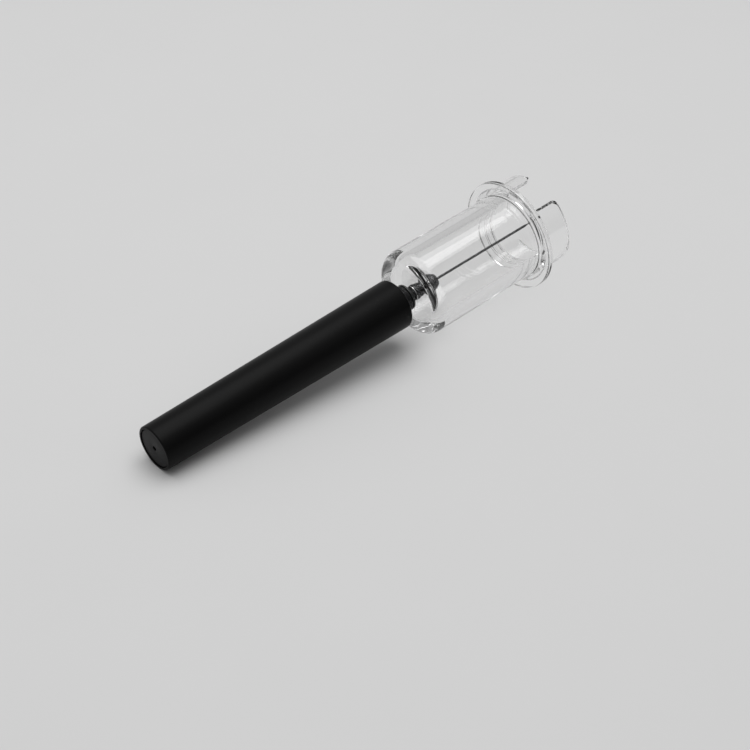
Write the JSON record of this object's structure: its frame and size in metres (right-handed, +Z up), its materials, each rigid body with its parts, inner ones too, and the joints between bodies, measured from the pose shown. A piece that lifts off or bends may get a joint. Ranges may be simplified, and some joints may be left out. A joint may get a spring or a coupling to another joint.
{
  "type": "air pump wine opener",
  "caption": "Hand pump cork remover: a sliding black pump handle, a hollow needle with a side vent, and a clear guard that guides the neck of a bottle.",
  "frame": {"origin": "on the floor, under the middle of the opener's length, as it lies on its handle's back edge and its guard's flange", "axes": "+X from the handle's end cap to the guard's open end, along an axis that rises 4.6 degrees; +Z up"},
  "size_m": [0.2324, 0.0558, 0.0557],
  "materials": {
    "satin_black": "satin",
    "moulded_black": "matt",
    "disc_grey": "satin",
    "rubber": "matt",
    "clear_plastic": "polished",
    "aluminium": "drawn",
    "steel": "polished",
    "brass": "turned",
    "nylon": "black"
  },
  "bodies": {
    "handle": {"handle_sleeve": "satin_black", "end_disc": "disc_grey", "end_cap": "moulded_black", "cap_ring": "rubber", "flap_cage": "steel", "barrel": "aluminium", "front_bush": "moulded_black", "wiper_ring": "rubber", "bumper_ring": "rubber"},
    "needle_unit": {"pump_tube": "aluminium", "piston": "moulded_black", "piston_ring": "rubber", "valve_seat": "brass", "spring_stop": "brass", "neck": "moulded_black", "tube_seal": "rubber", "neck_washer": "nylon", "hub_washer": "nylon", "needle_hub": "steel", "needle": "steel"},
    "intake": {"intake_flap": "rubber"},
    "check_valve": {"valve_ball": "steel", "valve_spring": "steel"},
    "bottle_guard": {"guard": "clear_plastic"}
  },
  "joints": [
    {"name": "handle_slide", "type": "slide", "parent": "handle", "child": "needle_unit", "axis": [0.9968, 0, 0.0801], "range_m": [0, 0.08]},
    {"name": "guard_turn", "type": "hinge", "parent": "needle_unit", "child": "bottle_guard", "pos_m": [0.03052, 0, 0.02236], "axis": [0.9968, 0, 0.0801], "continuous": true},
    {"name": "flap_lift", "type": "slide", "parent": "handle", "child": "intake", "axis": [0.9968, 0, 0.0801], "range_m": [0, 0.0008]},
    {"name": "valve_lift", "type": "slide", "parent": "needle_unit", "child": "check_valve", "axis": [0.9968, 0, 0.0801], "range_m": [0, 0.0009], "stiffness_N_per_m": 100, "springref_m": -0.003}
  ]
}
